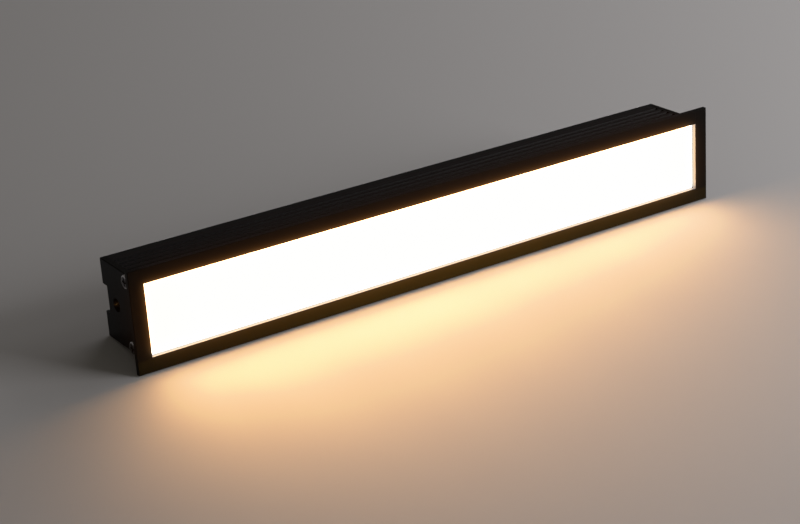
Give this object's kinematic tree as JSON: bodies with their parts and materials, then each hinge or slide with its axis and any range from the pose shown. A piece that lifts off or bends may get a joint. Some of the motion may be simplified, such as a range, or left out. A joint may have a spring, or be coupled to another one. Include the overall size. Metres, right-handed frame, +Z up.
{
  "type": "recessed linear led light",
  "caption": "Recessed linear LED luminaire: black trim round an opal diffuser, grooved aluminium housing with screwed end caps, lamp board and driver inside.",
  "frame": {"origin": "centre of the panel opening, in the plane where the trim seats on the panel", "axes": "+X along the light, +Y from the lit face into the housing, +Z up across the light's height"},
  "size_m": [0.3, 0.035, 0.045],
  "materials": {
    "black_anodised_profile": "satin black anodised, fine extrusion lines",
    "black_end_cap": "satin black, fine blasted grain",
    "plated_screw": "bright zinc plated",
    "black_rubber": "matt moulded rubber",
    "opal_diffuser": "opal, lit warm white",
    "grey_silicone": "soft matt silicone",
    "white_board": "white solder mask over aluminium",
    "white_reflector": "matt white",
    "led_package": "glossy white",
    "led_phosphor": "yellow phosphor, lit",
    "red_lead": "satin insulation",
    "black_lead": "satin insulation",
    "earth_lead": "satin green and yellow insulation",
    "solder": "bright solder",
    "tinned_tag": "tinned",
    "green_board": "green solder mask",
    "insulating_film": "translucent white film",
    "nylon": "natural nylon",
    "terminal_plastic": "green moulded plastic",
    "ferrite": "dark sintered ferrite",
    "yellow_tape": "yellow winding tape",
    "black_plastic": "black moulded plastic",
    "capacitor_sleeve": "dark sleeve",
    "film_case": "yellow box",
    "copper_wire": "enamelled copper",
    "fuse_body": "ceramic tube with metal caps"
  },
  "bodies": {
    "root": {"housing_extrusion": "black_anodised_profile", "end_cap_right": "black_end_cap", "end_cap_left": "black_end_cap", "end_cap_screws": "plated_screw", "led_board_screws": "plated_screw", "driver_screws": "plated_screw", "earth_screw": "plated_screw", "cable_grommet": "black_rubber", "diffuser": "opal_diffuser", "thermal_pad": "grey_silicone", "led_board": "white_board", "side_reflector_upper": "white_reflector", "side_reflector_lower": "white_reflector", "led_packages": "led_package", "led_phosphors": "led_phosphor", "lead_positive": "red_lead", "lead_negative": "black_lead", "earth_lead": "earth_lead", "lead_solder": "solder", "earth_tag": "tinned_tag", "driver_board": "green_board", "driver_insulation": "insulating_film", "driver_standoffs": "nylon", "input_terminal": "terminal_plastic", "output_terminal": "terminal_plastic", "transformer_core": "ferrite", "transformer_winding": "yellow_tape", "transformer_base": "black_plastic", "input_capacitor": "capacitor_sleeve", "output_capacitor": "capacitor_sleeve", "film_capacitor": "film_case", "choke_core": "ferrite", "choke_winding": "copper_wire", "fuse": "fuse_body", "bridge_rectifier": "black_plastic", "control_chip": "black_plastic"}
  },
  "joints": []
}
